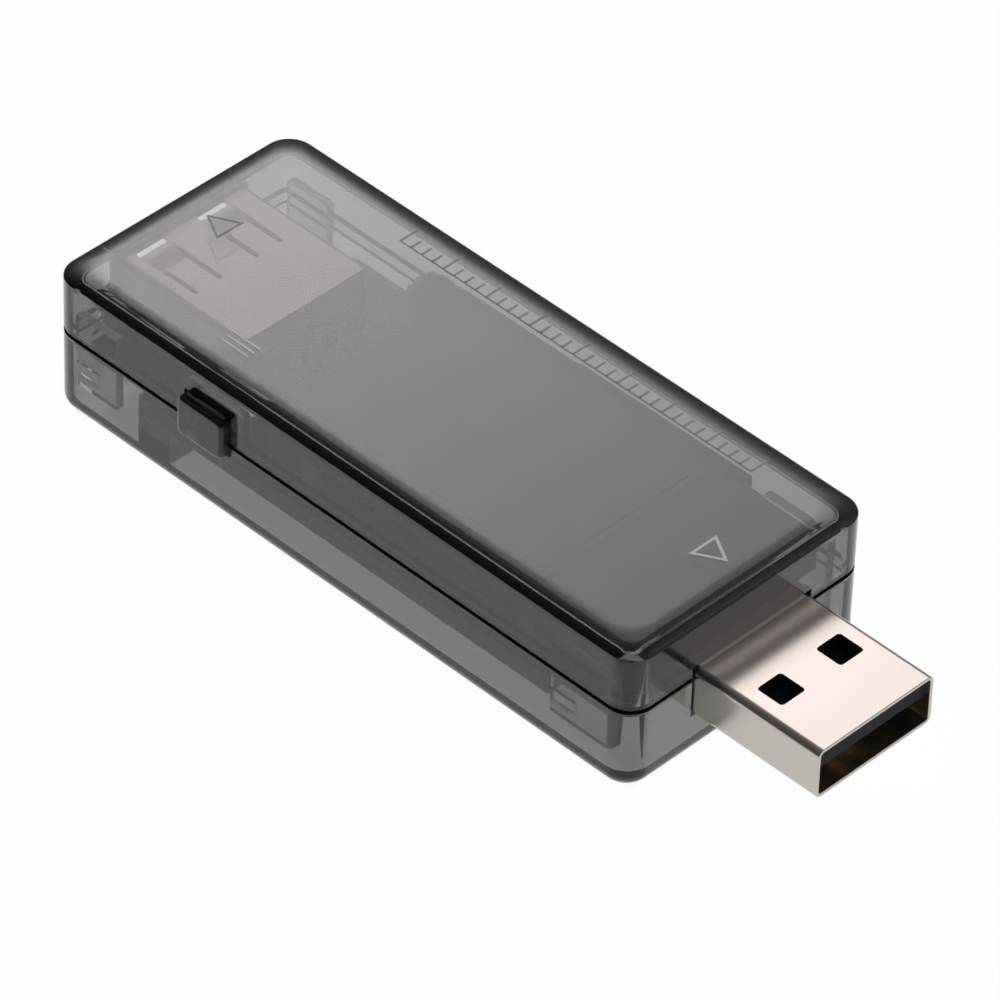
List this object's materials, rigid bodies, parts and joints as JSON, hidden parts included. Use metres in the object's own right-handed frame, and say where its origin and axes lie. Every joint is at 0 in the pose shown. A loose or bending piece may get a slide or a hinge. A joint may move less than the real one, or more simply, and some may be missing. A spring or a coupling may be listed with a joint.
{
  "type": "usb power meter",
  "caption": "Inline power meter: smoke-clear snap-fit case over a circuit board, USB-A plug at one end, USB-A socket at the other, display under the lid, sprung side button.",
  "frame": {"origin": "centre of the case's bottom face", "axes": "+X towards the plug, +Z out of the display side, button on the -Y side"},
  "size_m": [0.0721, 0.0255, 0.013],
  "materials": {
    "smoke_case": "smoke-clear polycarbonate, polished",
    "smoke_button": "smoke-clear polycarbonate, polished",
    "solder_mask": "black solder mask",
    "nickel": "bright nickel plate on folded steel sheet",
    "contact_gold": "gold flash",
    "slate_plastic": "moulded thermoplastic",
    "black_plastic": "moulded epoxy or nylon",
    "display_glass": "thin glass",
    "polariser": "polarising film",
    "white_plastic": "moulded diffuser",
    "polyimide": "polyimide film",
    "tape": "torn adhesive tape",
    "foam": "closed-cell foam",
    "ceramic": "fired ceramic body",
    "tin": "tinned steel"
  },
  "bodies": {
    "meter": {"top_cover": "smoke_case", "bottom_cover": "smoke_case", "switch_body": "black_plastic", "switch_cover": "tin", "circuit_board": "solder_mask", "plug_shell": "nickel", "plug_tongue": "slate_plastic", "socket_shell": "nickel", "socket_tongue": "black_plastic", "display_tray": "black_plastic", "display_backlight": "white_plastic", "display_glass": "display_glass", "display_polariser": "polariser", "display_flex": "polyimide", "display_tape": "tape", "plug_pad": "foam", "microcontroller": "black_plastic", "memory_chip": "black_plastic", "amplifier_chip": "black_plastic", "regulator_chip": "black_plastic", "crystal": "tin", "shunt_resistor": "black_plastic", "protection_diode": "black_plastic", "plug_contact_1": "contact_gold", "socket_contact_1": "contact_gold", "plug_contact_2": "contact_gold", "socket_contact_2": "contact_gold", "plug_contact_3": "contact_gold", "socket_contact_3": "contact_gold", "plug_contact_4": "contact_gold", "socket_contact_4": "contact_gold", "capacitor_1": "ceramic", "capacitor_2": "ceramic", "capacitor_3": "ceramic", "capacitor_4": "ceramic", "capacitor_5": "ceramic", "resistor_1": "black_plastic", "resistor_2": "black_plastic", "resistor_3": "black_plastic", "resistor_4": "black_plastic", "resistor_5": "black_plastic", "resistor_6": "black_plastic"},
    "button": {"menu_button": "smoke_button"},
    "plunger": {"switch_plunger": "slate_plastic"}
  },
  "joints": [
    {"name": "button_press", "type": "slide", "parent": "meter", "child": "button", "axis": [0, 1, 0], "range_m": [0, 0.00025]},
    {"name": "plunger_press", "type": "slide", "parent": "meter", "child": "plunger", "axis": [0, 1, 0], "range_m": [0, 0.00025]}
  ],
  "couplings": [
    {"joint": "plunger_press", "follows": "button_press", "ratio": 1}
  ]
}
